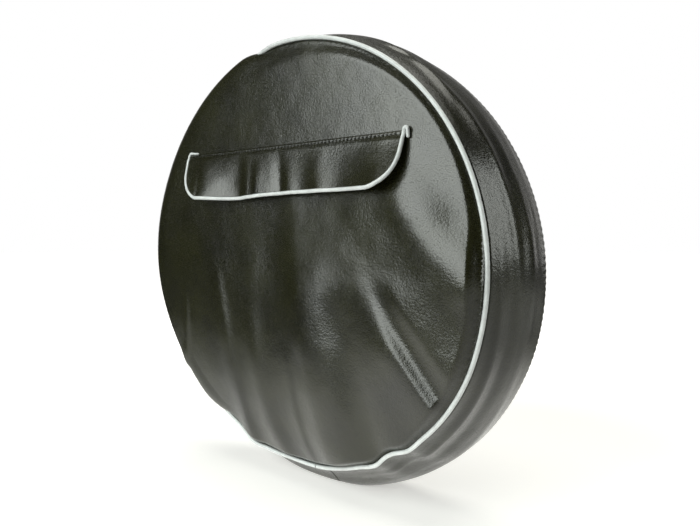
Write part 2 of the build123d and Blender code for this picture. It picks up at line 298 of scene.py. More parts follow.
def stitches(centres, directions, length, radius):
    """Short rounded threads, each lying along its own direction."""
    parts = []
    steps = np.linspace(-0.5, 0.5, 5)
    for centre, direction in zip(centres, directions):
        path = centre + steps[:, None] * (length - 2 * radius) * unit(direction)
        parts.append(tube(path, radius, sides=7))
    return join_parts(parts)


def sew(name, body, node, centres, directions, length, radius):
    """A row of stitches that stands for a CAD node of thread."""
    points, faces = stitches(np.array(centres), np.array(directions), length, radius)
    stand_for(make_mesh(name, points, faces, THREAD), body, "thread", node)


# --- materials
class Nodes:
    """A short way to wire up the nodes of a tree; on its own, of a new material."""

    def __init__(self, name, owner=None):
        self.material = owner or bpy.data.materials.new(name)
        self.material.use_nodes = True
        self.tree = self.material.node_tree
        self.shader = self.tree.nodes.get("Principled BSDF")
        self.coordinates = self.add("TexCoord")
        self.place = self.coordinates.outputs["Object"]

    def add(self, kind, links=(), values=(), **settings):
        """A new node with its settings, its links into sockets and its sockets' own values."""
        node = self.tree.nodes.new("ShaderNode" + kind)
        for key, value in settings.items():
            setattr(node, key, value)
        for key, value in dict(values).items():
            node.inputs[key].default_value = value
        for key, source in dict(links).items():
            self.link(source, node.inputs[key])
        return node

    def link(self, source, target):
        self.tree.links.new(source, target)

    def noise(self, scale, detail=2.0, roughness=0.5):
        values = {"Scale": scale, "Detail": detail, "Roughness": roughness}
        return self.add("TexNoise", {"Vector": self.place}, values).outputs["Fac"]

    def cells(self, scale, feature="F1", randomness=1.0, place=None):
        values = {"Scale": scale, "Randomness": randomness}
        links = {"Vector": place or self.place}
        return self.add("TexVoronoi", links, values, feature=feature).outputs["Distance"]

    def bands(self, place, direction, scale, distortion):
        values = {"Scale": scale, "Distortion": distortion}
        node = self.add("TexWave", {"Vector": place}, values, bands_direction=direction)
        return node.outputs["Fac"]

    def vectors(self, operation, first, links=(), values=()):
        links = {0: first, **dict(links)}
        return self.add("VectorMath", links, values, operation=operation).outputs["Vector"]

    def bent_place(self, scale, amount):
        """The place, pushed about by noise, so that a pattern on it isn't regular."""
        drift = self.add("TexNoise", {"Vector": self.place}, {"Scale": scale}).outputs["Color"]
        centred = self.vectors("SUBTRACT", drift, values={1: (0.5, 0.5, 0.5)})
        scaled = self.vectors("SCALE", centred, values={"Scale": amount})
        return self.vectors("ADD", self.place, {1: scaled})

    def range(self, value, low, high, to_low, to_high, **settings):
        values = {"From Min": low, "From Max": high, "To Min": to_low, "To Max": to_high}
        return self.add("MapRange", {"Value": value}, values, **settings).outputs["Result"]

    def math(self, operation, first, second):
        node = self.add("Math", operation=operation)
        for socket, value in zip(node.inputs, (first, second)):
            if isinstance(value, (int, float)):
                socket.default_value = value
            else:
                self.link(value, socket)
        return node.outputs["Value"]

    def colours(self, factor, *stops):
        """A colour ramp: stops are (position, (r, g, b))."""
        node = self.add("ValToRGB", {"Fac": factor})
        for element, (position, colour) in zip(node.color_ramp.elements, stops):
            element.position = position
            element.color = (*colour, 1)
        return node.outputs["Color"]

    def bump(self, height, distance, under=None):
        links = {"Height": height}
        if under is not None:
            links["Normal"] = under
        return self.add("Bump", links, {"Strength": 1.0, "Distance": distance}).outputs["Normal"]

    def finish(self, colour, roughness, normal=None, **constants):
        for key, source in (("Base Color", colour), ("Roughness", roughness), ("Normal", normal)):
            if source is not None:
                self.link(source, self.shader.inputs[key])
        for key, value in constants.items():
            self.shader.inputs[key.replace("_", " ")].default_value = value
        return self.material


def leatherette():
    """Black PVC leatherette: fine pebbled grain, dull creases between the pebbles, uneven gloss."""
    n = Nodes("leatherette")
    bent = n.bent_place(300, 0.0010)
    pebbles = n.cells(640, feature="SMOOTH_F1", place=bent)
    creases = n.cells(640, feature="DISTANCE_TO_EDGE", place=bent)
    top = n.range(creases, 0.0, 0.09, 0.0, 1.0)
    speckle = n.noise(1100, detail=2, roughness=0.7)
    tone = n.noise(14, detail=4, roughness=0.6)
    mixed = n.math("ADD", n.math("MULTIPLY", tone, 0.4), n.math("MULTIPLY", speckle, 0.6))
    colour = n.colours(mixed, (0.40, (0.003, 0.003, 0.0008)), (0.60, (0.0165, 0.0168, 0.0042)))
    grain = n.math("ADD", n.math("MULTIPLY", pebbles, -0.9), n.math("MULTIPLY", speckle, 0.5))
    rumple = n.noise(60, detail=2, roughness=0.5)
    normal = n.bump(rumple, 0.0004)
    normal = n.bump(grain, 0.00015, under=normal)
    worn = n.noise(9, detail=5, roughness=0.65)
    gloss = n.math("SUBTRACT", n.range(worn, 0.3, 0.7, 0.42, 0.48), n.math("MULTIPLY", top, 0.26))
    return n.finish(colour, gloss, normal, IOR=1.55, Coat_Weight=0.15, Coat_Roughness=0.16, Coat_IOR=1.5)


def knitted_backing():
    """The grey-brown knitted cloth on the inside of the leatherette."""
    n = Nodes("knitted_backing")
    bent = n.bent_place(180, 0.0009)
    loops = n.cells(1500, feature="F1", randomness=0.35, place=bent)
    fuzz = n.noise(900, detail=4, roughness=0.7)
    shade = n.math("ADD", n.math("MULTIPLY", loops, 0.6), n.math("MULTIPLY", fuzz, 0.5))
    colour = n.colours(shade, (0.25, (0.035, 0.033, 0.030)), (0.8, (0.085, 0.082, 0.076)))
    normal = n.bump(shade, 0.0003)
    rough = n.range(fuzz, 0.3, 0.7, 0.82, 0.96)
    return n.finish(colour, rough, normal, Sheen_Weight=0.25, Sheen_Roughness=0.5)


def woven(name, dark, light, threads_per_mm, sheen):
    """A plain weave of fine threads, crossing in the plane of the front panel."""
    n = Nodes(name)
    bent = n.bent_place(90, 0.0006)
    waves = [n.bands(bent, direction, threads_per_mm * 1000 / 20, 0) for direction in ("X", "Z")]
    weave = n.math("ADD", n.math("MULTIPLY", waves[0], 0.5), n.math("MULTIPLY", waves[1], 0.5))
    slub = n.noise(220, detail=4, roughness=0.6)
    shade = n.math("ADD", n.math("MULTIPLY", weave, 0.6), n.math("MULTIPLY", slub, 0.4))
    colour = n.colours(shade, (0.3, dark), (0.75, light))
    normal = n.bump(weave, 0.00012)
    rough = n.range(slub, 0.3, 0.7, 0.55, 0.75)
    return n.finish(colour, rough, normal, Sheen_Weight=sheen, Sheen_Roughness=0.4)


def grey_piping():
    """Light grey PVC, satin, with faint handling marks and a little drawn-out ripple."""
    n = Nodes("grey_piping")
    marks = n.noise(120, detail=5, roughness=0.65)
    colour = n.colours(marks, (0.32, (0.54, 0.56, 0.555)), (0.6, (0.66, 0.685, 0.68)))
    ripple = n.noise(420, detail=2)
    fine = n.noise(2400, detail=2)
    normal = n.bump(n.math("ADD", ripple, n.math("MULTIPLY", fine, 0.2)), 0.00022)
    rough = n.range(marks, 0.3, 0.7, 0.34, 0.5)
    return n.finish(colour, rough, normal, IOR=1.5, Coat_Weight=0.15, Coat_Roughness=0.3)


def plastic_cord():
    """The pale extruded cord inside the piping."""
    n = Nodes("plastic_cord")
    marks = n.noise(300, detail=3)
    colour = n.colours(marks, (0.3, (0.62, 0.62, 0.6)), (0.7, (0.74, 0.74, 0.72)))
    return n.finish(colour, n.range(marks, 0.3, 0.7, 0.45, 0.6), n.bump(marks, 0.0002))


def thread():
    """Black twisted polyester."""
    n = Nodes("thread")
    twist = n.bands(n.place, "DIAGONAL", 260, 1.5)
    colour = n.colours(twist, (0.2, (0.002, 0.002, 0.002)), (0.8, (0.010, 0.010, 0.009)))
    rough = n.range(n.noise(800), 0.3, 0.7, 0.6, 0.8)
    return n.finish(colour, rough, n.bump(twist, 0.00012), Specular_IOR_Level=0.12)


def braided_elastic():
    """Round elastic cord in a black braid."""
    n = Nodes("braided_elastic")
    braid = n.cells(900, randomness=0.2)
    colour = n.colours(braid, (0.1, (0.03, 0.03, 0.03)), (0.7, (0.008, 0.008, 0.008)))
    rough = n.range(n.noise(500), 0.3, 0.7, 0.65, 0.85)
    return n.finish(colour, rough, n.bump(braid, 0.0003), Sheen_Weight=0.2)


def pile_tape(name, scale, depth):
    """Hook or loop tape: a close, matt pile."""
    n = Nodes(name)
    tufts = n.cells(scale, randomness=0.6)
    fuzz = n.noise(scale * 1.7, detail=4, roughness=0.75)
    height = n.math("ADD", n.math("MULTIPLY", tufts, -0.7), n.math("MULTIPLY", fuzz, 0.6))
    colour = n.colours(height, (0.1, (0.006, 0.006, 0.006)), (0.6, (0.028, 0.028, 0.028)))
    return n.finish(colour, n.range(fuzz, 0.3, 0.7, 0.75, 0.95), n.bump(height, depth), Sheen_Weight=0.4)


LEATHERETTE = leatherette()
BACKING = knitted_backing()
LINING = woven("nylon_lining", (0.012, 0.012, 0.013), (0.035, 0.035, 0.038), 2.2, 0.15)
PIPING = grey_piping()
CORE = plastic_cord()
THREAD = thread()
ELASTIC = braided_elastic()
HOOKS = pile_tape("hook_pile", 1100, 0.0004)
LOOPS = pile_tape("loop_pile", 700, 0.0006)

# --- how the empty cover slumps
# Humps of (centre angle, half width, amount in mm). The lower left of the front rim has sunk back
# into the drum, and its bottom is drawn in and up by the weight that the band stands on.
RIM_BACK = (
    (252, 85, 34.0),
    (140, 80, 2.0),
)
RIM_IN = (
    (292, 50, 17.0),
    (255, 45, 6.0),
    (262, 16, 2.2),
    (203, 24, 2.0),
    (8, 50, -1.2),
    (85, 45, 0.8),
    (237, 8, 2.5),
    (246, 6, -2.5),
    (306, 7, 2.6),
    (298, 6, -1.6),
    (313, 6, -1.2),
)
RIM_SET_BACK = 0.9

# Round the left the panel's edge rolls over its seam, and hides the piping from the front.
ROLL_FROM = 93
ROLL_TO = 238
ROLL_EASE = 16
ROLL_SET_BACK = 8.5
ROLL_TURN = 125.0
ROLL_DEPTH = 8.0
ROLL_OVERHANG = 4.0


def rolled(angle):
    """1 where the panel's edge rolls over, 0 elsewhere."""
    middle = (ROLL_FROM + ROLL_TO) / 2
    inside = (ROLL_TO - ROLL_FROM) / 2 - np.abs(angle_apart(angle, middle))
    return smooth(inside / ROLL_EASE)


def rim_back(angle):
    return RIM_SET_BACK + humps(angle, RIM_BACK) + ROLL_SET_BACK * rolled(angle)


def rim_in(angle):
    return humps(angle, RIM_IN)


def polar(x, z):
    return np.hypot(x, z), np.degrees(np.arctan2(z, x)) % 360


def around(angle, radius, y):
    """Points at that angle round the axle, that far out and that far along it."""
    turn = np.radians(angle)
    return places(radius * np.cos(turn), y, radius * np.sin(turn))


def rim_point(angle, radius, y):
    """Where a point of the front seam goes when the rim slumps."""
    return around(angle, radius - rim_in(angle), y + rim_back(angle))


# --- front panel
# Folds run down from under the flap and fan out. Each is (three points of its crest from the top
# down as (x, z), width to its left, width to its right, height in mm); a valley is a negative height.
PANEL_FOLDS = (
    (((-108, 30), (-89, -60), (-79, -172)), 20.0, 9.0, 2.7),
    (((4, 110), (27, -45), (47, -172)), 26.0, 400.0, 3.4),
    (((6, 110), (29, -45), (49, -172)), 16.0, 16.0, 1.0),
    (((22, 40), (54, -85), (66, -176)), 38.0, 24.0, 4.6),
    (((-50, 0), (-40, -120), (-32, -184)), 18.0, 14.0, 3.2),
    (((1, -60), (6, -135), (12, -184)), 10.0, 6.0, 0.9),
    (((58, -10), (82, -90), (104, -165)), 20.0, 20.0, -3.8),
    (((97, 0), (136, -70), (186, -124)), 24.0, 9.0, 4.8),
    (((122, 4), (157, -46), (200, -92)), 12.0, 44.0, 3.8),
    (((130, 118), (158, 48), (206, -8)), 95.0, 30.0, 8.5),
    (((132, 112), (153, 40), (202, -8)), 20.0, 24.0, 3.2),
    (((-156, -20), (-160, -75), (-167, -102)), 8.0, 3.5, 2.0),
)
FOLD_FADE = 0.6
DENT_X = 184
DENT_Z = 36
DENT_RADIUS = 17
DENT_DEPTH = 1.3
PANEL_BULGE = 3.6
PANEL_FORWARD = 1.2


def fold_height(x, z, crest, left, right, height):
    """One fold's height over the panel."""
    (x0, z0), (x1, z1), (x2, z2) = crest
    curve = np.polyfit((z0, z1, z2), (x0, x1, x2), 2)
    centre = np.polyval(curve, z)
    slope = np.polyval(np.polyder(curve), z)
    away = (x - centre) / np.sqrt(1 + slope * slope)
    along = (z0 - z) / (z0 - z2)
    grown = smooth(along / FOLD_FADE) * (1 - 0.6 * smooth((along - 1) * 2.5))
    widening = 0.75 + 0.25 * np.clip(along, 0, 1)
    width = np.where(away < 0, left, right) * widening
    return height * grown * bell(away / width)


def panel_height(x, z):
    """How far the slack panel stands out from its flat plane."""
    radius, angle = polar(x, z)
    margin = 7 + 19 * hump(angle, 115, 75)
    edge = smooth((radius - (PANEL_RADIUS - margin)) / margin) * (1 - 0.6 * rolled(angle))
    folds = sum(fold_height(x, z, *fold) for fold in PANEL_FOLDS)
    dent = -DENT_DEPTH * bell(np.hypot(x - DENT_X, z - DENT_Z) / DENT_RADIUS)
    rumple = 0.8 * noise_at(x, 0.0, z, 62, 3) + 0.3 * noise_at(x, 0.0, z, 23, 4)
    held = 1 - smooth((radius - 150) / 56)
    below = smooth((100 - z) / 60)
    rumple = rumple * (0.3 + 0.7 * below * held)
    return PANEL_BULGE * (1 - edge) + (folds + dent) * (1 - 0.75 * edge) + rumple


ROLL_WIDTH = 15.0


def panel_point(x, z, depth=0.0):
    """A point of the front panel, or one that depth behind it."""
    radius, angle = polar(x, z)
    share = np.clip(radius / PANEL_RADIUS, 0, 1.05)
    back = (rim_back(angle) - ROLL_SET_BACK * rolled(angle)) * share ** 3.0
    height = panel_height(x, z)
    roll = rolled(angle)
    around_roll = np.clip((radius - (PANEL_RADIUS - ROLL_WIDTH)) / ROLL_WIDTH, 0, 1)
    turn = np.radians(ROLL_TURN) * around_roll
    reach = (ROLL_WIDTH + ROLL_OVERHANG) / math.sin(math.radians(ROLL_TURN))
    over = np.where(around_roll > 0, PANEL_RADIUS - ROLL_WIDTH + reach * np.sin(turn) - radius, 0)
    edge_drop = ROLL_DEPTH * (1 - np.cos(turn))
    out = roll * over - rim_in(angle) * share ** 4
    scale = (radius + out) / np.maximum(radius, 1)
    y = PANEL_Y + PANEL_BULGE - PANEL_FORWARD - height + back + roll * edge_drop + depth
    return places(x * scale, y, z * scale)


MOUTH_MARGIN = 3.5
MOUTH_X, _, MOUTH_Z = facing_middle
MOUTH_HALF = facing_half[0] - MOUTH_MARGIN
MOUTH_RADIUS = facing_half[2] - MOUTH_MARGIN


def mouth_outline(grow, step):
    """Points round the pocket's slit, that far outside its edge, as (x, z)."""
    radius = MOUTH_RADIUS + grow
    straight = MOUTH_HALF - MOUTH_RADIUS
    turn = np.linspace(-90, 90, max(9, int(math.pi * radius / step)))
    ends = []
    for side in (1, -1):
        x = MOUTH_X + side * (straight + radius * np.cos(np.radians(turn)))
        ends.append(np.stack([x, MOUTH_Z + side * radius * np.sin(np.radians(turn))], axis=1))
    run = np.linspace(-straight, straight, int(2 * straight / step))[1:-1]
    top = np.stack([MOUTH_X - run, np.full(len(run), MOUTH_Z + radius)], axis=1)
    bottom = np.stack([MOUTH_X + run, np.full(len(run), MOUTH_Z - radius)], axis=1)
    return np.concatenate([ends[0], top, ends[1], bottom])


def inside_mouth(x, z, grow):
    """True within the slit, or that far outside its edge."""
    reach = np.maximum(np.abs(x - MOUTH_X) - (MOUTH_HALF - MOUTH_RADIUS), 0)
    return np.hypot(reach, z - MOUTH_Z) < MOUTH_RADIUS + grow


PANEL_STEP = 2.1
ROW_SPACING = 0.866


def panel_mesh_plan():
    """Points all over the disc as (x, z), the triangles between them, and how many lie on its rim."""
    draw = np.random.default_rng(11)
    rows = int(PANEL_RADIUS / (PANEL_STEP * ROW_SPACING))
    points = []
    for row in range(-rows, rows + 1):
        z = row * PANEL_STEP * ROW_SPACING
        offset = 0.5 * PANEL_STEP * (row % 2)
        count = int(PANEL_RADIUS / PANEL_STEP)
        x = np.arange(-count, count + 1) * PANEL_STEP + offset
        points.append(np.stack([x, np.full(len(x), z)], axis=1))
    grid = np.concatenate(points)
    grid += draw.uniform(-0.12, 0.12, grid.shape)
    radius = np.hypot(grid[:, 0], grid[:, 1])
    keep = (radius < PANEL_RADIUS - 1.6) & ~inside_mouth(grid[:, 0], grid[:, 1], 1.5)
    grid = grid[keep]
    turn = np.radians(np.linspace(0, 360, 900, endpoint=False))
    rim = np.stack([PANEL_RADIUS * np.cos(turn), PANEL_RADIUS * np.sin(turn)], axis=1)
    slit = mouth_outline(0, 1.6)
    every = np.concatenate([rim, slit, grid])
    edges = []
    for first, count in ((0, len(rim)), (len(rim), len(slit))):
        edges += [(first + i, first + (i + 1) % count) for i in range(count)]
    found = delaunay_2d_cdt([Vector(p) for p in every], edges, [], 0, 1e-5)
    plan = np.array([tuple(v) for v in found[0]])
    triangles = np.array(found[2])
    middle = plan[triangles].mean(axis=1)
    inside = np.hypot(middle[:, 0], middle[:, 1]) < PANEL_RADIUS
    inside &= ~inside_mouth(middle[:, 0], middle[:, 1], -0.02)
    return plan, triangles[inside], len(rim)


TURNED_IN = ((206.5, -49.4), (206.4, -48.2), (206.0, -46.6), (205.6, -44.6))


def make_front_panel():
    plan, triangles, rim_count = panel_mesh_plan()
    points = panel_point(plan[:, 0], plan[:, 1])
    angle = np.linspace(0, 360, rim_count, endpoint=False)
    rings = [rim_point(angle, radius, y - RIM_SET_BACK) for radius, y in TURNED_IN]
    turned = np.array(grid_faces(len(TURNED_IN) + 1, rim_count, closed=True))
    turned = np.where(turned < rim_count, turned, turned - rim_count + len(points))
    faces = triangles.tolist() + turned.tolist()
    piece = make_mesh("front_panel_cloth", np.concatenate([points] + rings), faces, LEATHERETTE, BACKING)
    thicken(piece, SHEET)
    stand_for(piece, "cover", "leatherette", "front_panel")


# --- side band
CROWN_ARC = 172.0
SHOULDER_ARC = 17.0
CROWN_FRONT_Y = -48.6
CROWN_REAR_Y = 34.0
SHOULDER_END = 88.0
PULL_REACH = 72.0
BAND_SEAM = 275.0


def band_section():
    """The band's section from its turned-in front edge to its rear edge, as radius and place."""
    centre = CROWN_RADIUS - CROWN_ARC
    front = math.asin(CROWN_FRONT_Y / CROWN_ARC)
    rear = math.asin(CROWN_REAR_Y / CROWN_ARC)
    crown = np.linspace(front, rear, 72)
    shoulder = np.linspace(rear, math.radians(SHOULDER_END), 26)[1:]
    reach = CROWN_ARC - SHOULDER_ARC
    radius = [208.5, 209.0, 209.3, 209.7]
    y = [-44.6, -46.4, -47.6, -48.5]
    radius += list(centre + CROWN_ARC * np.cos(crown))
    y += list(CROWN_ARC * np.sin(crown))
    radius += list(centre + reach * math.cos(rear) + SHOULDER_ARC * np.cos(shoulder))
    y += list(reach * math.sin(rear) + SHOULDER_ARC * np.sin(shoulder))
    return np.array(radius), np.array(y)


# Creases that run round the band: (first angle, last angle, place at each, width, height).
BAND_CREASES = (
    (78, -18, -30, -17, 7.0, 1.7),
    (50, -40, -2, 6, 9.0, 1.3),
    (8, -78, -39, -26, 4.5, 1.6),
    (20, -70, -28, -12, 7.0, -1.5),
    (75, 35, -12, -34, 5.0, 1.4),
    (70, 45, -36, -16, 5.0, -1.2),
    (-20, -64, 2, 12, 8.0, 1.0),
    (170, 100, -20, -30, 8.0, 1.5),
    (250, 180, -8, -20, 9.0, 2.0),
    (235, 140, 14, 4, 9.0, 1.4),
)
GATHERS = 236
GATHER_RISE = 0.34
GATHER_FROM = 22
GATHER_REACH = 24


def band_relief(angle, y):
    """How far the band's creases and gathers stand out."""
    height = np.zeros(np.broadcast(angle, y).shape)
    for first, last, y_first, y_last, width, rise in BAND_CREASES:
        middle = (first + last) / 2
        half = abs(first - last) / 2
        along = angle_apart(angle, middle) / half
        centre = (y_first + y_last) / 2 + (y_first - y_last) / 2 * along * np.sign(first - last)
        ends = hump(along * 90, 0, 110) * (np.abs(along) < 1.25)
        height = height + rise * ends * bell((y - centre) / width)
    turn = np.radians(angle)
    place = (CROWN_RADIUS * np.cos(turn) * 0.4, y * 1.6, CROWN_RADIUS * np.sin(turn) * 0.4)
    drift = noise_at(*place, 26, 7) + 0.12 * noise_at(*place, 9, 8)
    held = smooth((y - CROWN_FRONT_Y) / 12)
    seam = -1.1 * bell(angle_apart(angle, BAND_SEAM) / 0.22) * smooth((y - CROWN_FRONT_Y) / 3)
    gathers = GATHER_RISE * smooth((y - GATHER_FROM) / GATHER_REACH) * gather_wave(angle)
    return (height + 0.9 * drift) * held + seam + gathers


def gather_wave(angle):
    """The pleats that the elastic draws up, from -1 to 1, uneven in spacing and depth."""
    turn = np.radians(angle)
    place = (np.cos(turn) * 100, np.sin(turn) * 100, 0.0)
    depth = 0.75 + 0.25 * noise_at(*place, 5, 22)
    return depth * np.sin(turn * GATHERS + 1.6 * noise_at(*place, 9, 21))


SOFT_FLOOR = 0.7
BAND_PROUD = 2.4

# The rear of the drum has dropped: in at the upper right, out at the lower right.
REAR_OUT = (
    (46, 52, -4.4),
    (325, 45, 1.8),
    (298, 26, -1.4),
)


def stand_on_floor(points):
    """Flattens what would be below the floor, with a soft edge to the flat."""
    over = (points[..., 2] - FLOOR_Z) / SOFT_FLOOR
    lifted = np.where(over > 30, over, np.log1p(np.exp(np.minimum(over, 30))))
    points[..., 2] = FLOOR_Z + SOFT_FLOOR * lifted
    return points


def band_point(angle, radius, y, inset=0.0):
    """Where a point of the band's section goes, creased and slumped, or one that far inside it."""
    pull = 1 - smooth((y - CROWN_FRONT_Y) / PULL_REACH)
    outward = radius + band_relief(angle, y) - inset - rim_in(angle) * pull
    outward = outward + BAND_PROUD * smooth((y - CROWN_FRONT_Y) / 45)
    outward = outward + humps(angle, REAR_OUT) * smooth((y - CROWN_FRONT_Y) / 50)
    return stand_on_floor(around(angle, outward, y + rim_back(angle) * pull))


def band_angles():
    """Angles round the band, closer together at its seam."""
    even = np.linspace(0, 360, 1650, endpoint=False)
    seam = BAND_SEAM + np.linspace(-0.7, 0.7, 22)
    even = even[np.abs(angle_apart(even, BAND_SEAM)) > 0.8]
    return np.sort(np.concatenate([even, seam]))


def make_side_band():
    radius, y = band_section()
    angle = band_angles()
    points = band_point(angle[None, :], radius[:, None], y[:, None])
    piece = make_grid("side_band_cloth", points, LEATHERETTE, BACKING, closed=True, flip=True)
    thicken(piece, SHEET)
    stand_for(piece, "cover", "leatherette", "side_band")


def make_joint_allowance():
    """The strip's turned-in ends, laid open inside the joint at the bottom."""
    low, high = box_mm("band_joint_allowance")
    half = math.degrees((high[0] - low[0]) / 2 / CROWN_RADIUS)
    angle = BAND_SEAM + np.linspace(-half, half, 25)
    y = np.linspace(low[1], high[1], 40)
    radius = CROWN_RADIUS - CROWN_ARC + np.sqrt(CROWN_ARC ** 2 - y ** 2)
    points = band_point(angle[None, :], radius[:, None], y[:, None], inset=SHEET + 0.5)
    piece = make_grid("band_joint_tabs", points, BACKING, LEATHERETTE)
    thicken(piece, 0.8)
    stand_for(piece, "cover", "leatherette_back", "band_joint_allowance")


# --- rim piping
PIPING_JOINT = 273.0
PIPING_GAP = 0.18
CORE_RADIUS = 1.1
RIM_SEAM_RADIUS = 204.4
TAPE = ((207.6, -50.0), (207.5, -44.4))


def rim_path(radius, y, steps=1100):
    angle = PIPING_JOINT + PIPING_GAP + np.linspace(0, 360 - 2 * PIPING_GAP, steps)
    return angle, rim_point(angle, radius, y)


def make_rim_piping():
    angle, path = rim_path(RIM_RADIUS, RIM_Y)
    uneven = BEAD_RADIUS * (1 + 0.035 * noise(path, 14, 31))
    bead = tube(path, uneven, sides=18, rounded=False)
    tape_points = np.concatenate([rim_point(angle, radius, y) for radius, y in TAPE])
    tape = (tape_points, grid_faces(2, len(angle)))
    points, faces = join_parts([bead, tape])
    piece = make_mesh("rim_piping_bead", points, faces, PIPING)
    stand_for(piece, "cover", "piping", "rim_piping")
    angle, path = rim_path(RIM_RADIUS, RIM_Y, 700)
    core = make_mesh("rim_piping_inner_cord", *tube(path, CORE_RADIUS, sides=10, rounded=False), CORE)
    stand_for(core, "cover", "piping_core", "rim_piping_core")


def make_rim_stitches():
    """The lockstitch that closes the rim's seam, seen only from inside."""
    angle = np.linspace(0, 360, 420, endpoint=False)
    centres = rim_point(angle, RIM_SEAM_RADIUS, RIM_Y + 5.2)
    ahead = rim_point(angle + 0.3, RIM_SEAM_RADIUS, RIM_Y + 5.2)
    sew("rim_seam_stitches", "cover", "rim_seam_thread", centres, ahead - centres, 2.4, 0.35)


# --- gathered rear hem
HEM_Y = casing_middle[1]
HEM_RADIUS = casing_middle[0] + casing_half[0] - 7.0
HEM_WIDTH = 7.6
HEM_DEPTH = 3.7
HEM_SEAM_RADIUS = 194.4


def hem_point(angle, turn):
    """A point of the gathered casing: turn goes round its section, 0 outwards and 90 to the rear."""
    wave = gather_wave(angle)
    across = np.cos(np.radians(turn))
    along = np.sin(np.radians(turn))
    pleat = wave * (0.85 + 0.35 * along)
    radius = HEM_RADIUS + (HEM_WIDTH + 0.3 * wave) * across
    stitched = 0.3 * bell((radius - HEM_SEAM_RADIUS - 0.1) / 0.8)
    y = HEM_Y + (HEM_DEPTH + pleat * 0.8) * along * (1 - 0.22 * np.abs(across)) - stitched
    return around(angle, radius, y)


def make_hem():
    angle = np.linspace(0, 360, 1650, endpoint=False)
    turn = np.linspace(0, 360, 30, endpoint=False)
    points = hem_point(angle[:, None], turn[None, :])
    piece = make_grid("elastic_hem_gathers", points, LEATHERETTE, closed=True, ring=True)
    stand_for(piece, "cover", "leatherette", "elastic_casing")

    def seam_at(angle):
        return around(angle, HEM_SEAM_RADIUS, HEM_Y + 3.6 + 0.5 * gather_wave(angle))

    angle = np.linspace(0, 360, 330, endpoint=False)
    centres = seam_at(angle)
    ahead = seam_at(angle + 0.4)
    sew("elastic_hem_stitches", "cover", "casing_thread", centres, ahead - centres, 2.6, 0.38)


# --- flap
hinge = frame["record"]["behaviour"]["joints"][0]["pos_m"]
HINGE_Y = hinge[1] / MM
HINGE_Z = hinge[2] / MM
FLAP_X = heading_middle[0]
FLAP_BEAD = 1.7
FLAP_HALF = flap_half[0] - FLAP_BEAD
FOLD_Z = heading_middle[2] + heading_half[2]
FLAP_DROP = FOLD_Z - flap_middle[2] + flap_half[2] - FLAP_BEAD + 0.8
FLAP_OUT = 1.6
FLAP_CORNER = 28.0
HEADING = FOLD_Z - HINGE_Z
STITCH_LINE = 3.1
STITCH_PITCH = 4.2
TAIL_BEND = 1.6

# Soft folds down the flap: (place along it, width to its left, width to its right, height).
FLAP_FOLDS = (
    (-106, 12, 24, 7.6),
    (-54, 14, 8, -2.2),
    (-42, 6, 7, 1.6),
    (-27, 7, 14, 2.6),
    (2, 8, 8, -2.2),
    (12, 6, 12, 0.6),
    (30, 12, 12, -0.8),
    (50, 10, 10, 1.4),
    (76, 12, 12, -1.0),
    (117, 16, 10, 2.8),
)
FOLD_SLANT = 0.2
DIP_X = -58
DIP_REACH = 44
DIP = 2.9


def flap_standoff(x):
    """How far the flap's lower edge hangs from the panel along its length."""
    side = (x - FLAP_X) / FLAP_HALF
    return 8.5 + 9.5 * np.clip(side, 0, 1) ** 2.2 + 2.0 * np.clip(-side, 0, 1) ** 2


def flap_point(x, drop, depth=0.0):
    """A point of the flap's outer face that far below its fold, or one that depth behind it."""
    share = np.clip((drop - HEADING) / (FLAP_DROP - HEADING), 0, 1.2)
    eased = share ** 1.2
    slanted = x - FLAP_X - FOLD_SLANT * (drop - FLAP_DROP / 2)
    folds = sum(
        height * bell((slanted - place) / np.where(slanted < place, left, right))
        for place, left, right, height in FLAP_FOLDS
    )
    pucker = 0.82 + 0.18 * np.cos(2 * np.pi * (x - FLAP_X) / STITCH_PITCH)
    below = drop - STITCH_LINE
    dimple = 0.5 * pucker * bell(below / 1.1) + 0.12 * pucker * bell(below / 3.5)
    rounded = 2.9 * (1 - np.sqrt(np.clip(1 - (1 - np.clip(drop / 2.2, 0, 1)) ** 2, 0, 1)))
    rumple = 0.35 * noise_at(x, 0.0, drop, 17, 41) * eased
    swell = 0.8 * smooth(below / 5) * (1 - 0.5 * eased)
    out = FLAP_OUT * smooth(drop / 2.5) + swell + flap_standoff(x) * eased
    y = HINGE_Y - out + dimple + rounded - (folds * eased ** 0.8 + rumple)
    lean = np.arctan2(flap_standoff(x) * 1.2, FLAP_DROP - HEADING) * smooth(share * 3)
    z = FOLD_Z - HEADING - (drop - HEADING) * (0.972 + 0.028 * (1 - smooth(share * 4)))
    z = z - DIP * bell((x - FLAP_X - DIP_X) / DIP_REACH) * eased
    return places(x, y + depth * np.cos(lean), z - depth * np.sin(lean))


def flap_half_width(drop, inset):
    """Half the flap's width that far below its fold, inside the piping."""
    corner = FLAP_CORNER - inset
    below = np.clip(drop - (FLAP_DROP - FLAP_CORNER), 0, corner)
    return FLAP_HALF - inset - corner + np.sqrt(np.maximum(corner ** 2 - below ** 2, 0))


def flap_grid(inset, depth, top, columns, rows):
    drop = np.linspace(top, FLAP_DROP - inset, rows)
    across = np.linspace(-1, 1, columns)
    x = FLAP_X + across[None, :] * flap_half_width(drop, inset)[:, None]
    return flap_point(x, np.broadcast_to(drop[:, None], x.shape), depth)


def blend_at_fold(piece):
    """Bakes a piece of the flap's placement into its mesh."""
    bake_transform(piece)


def apply_modifiers(piece):
    """Makes the piece's modifiers part of its mesh."""
    graph = bpy.context.evaluated_depsgraph_get()
    piece.data = bpy.data.meshes.new_from_object(piece.evaluated_get(graph))
    piece.modifiers.clear()


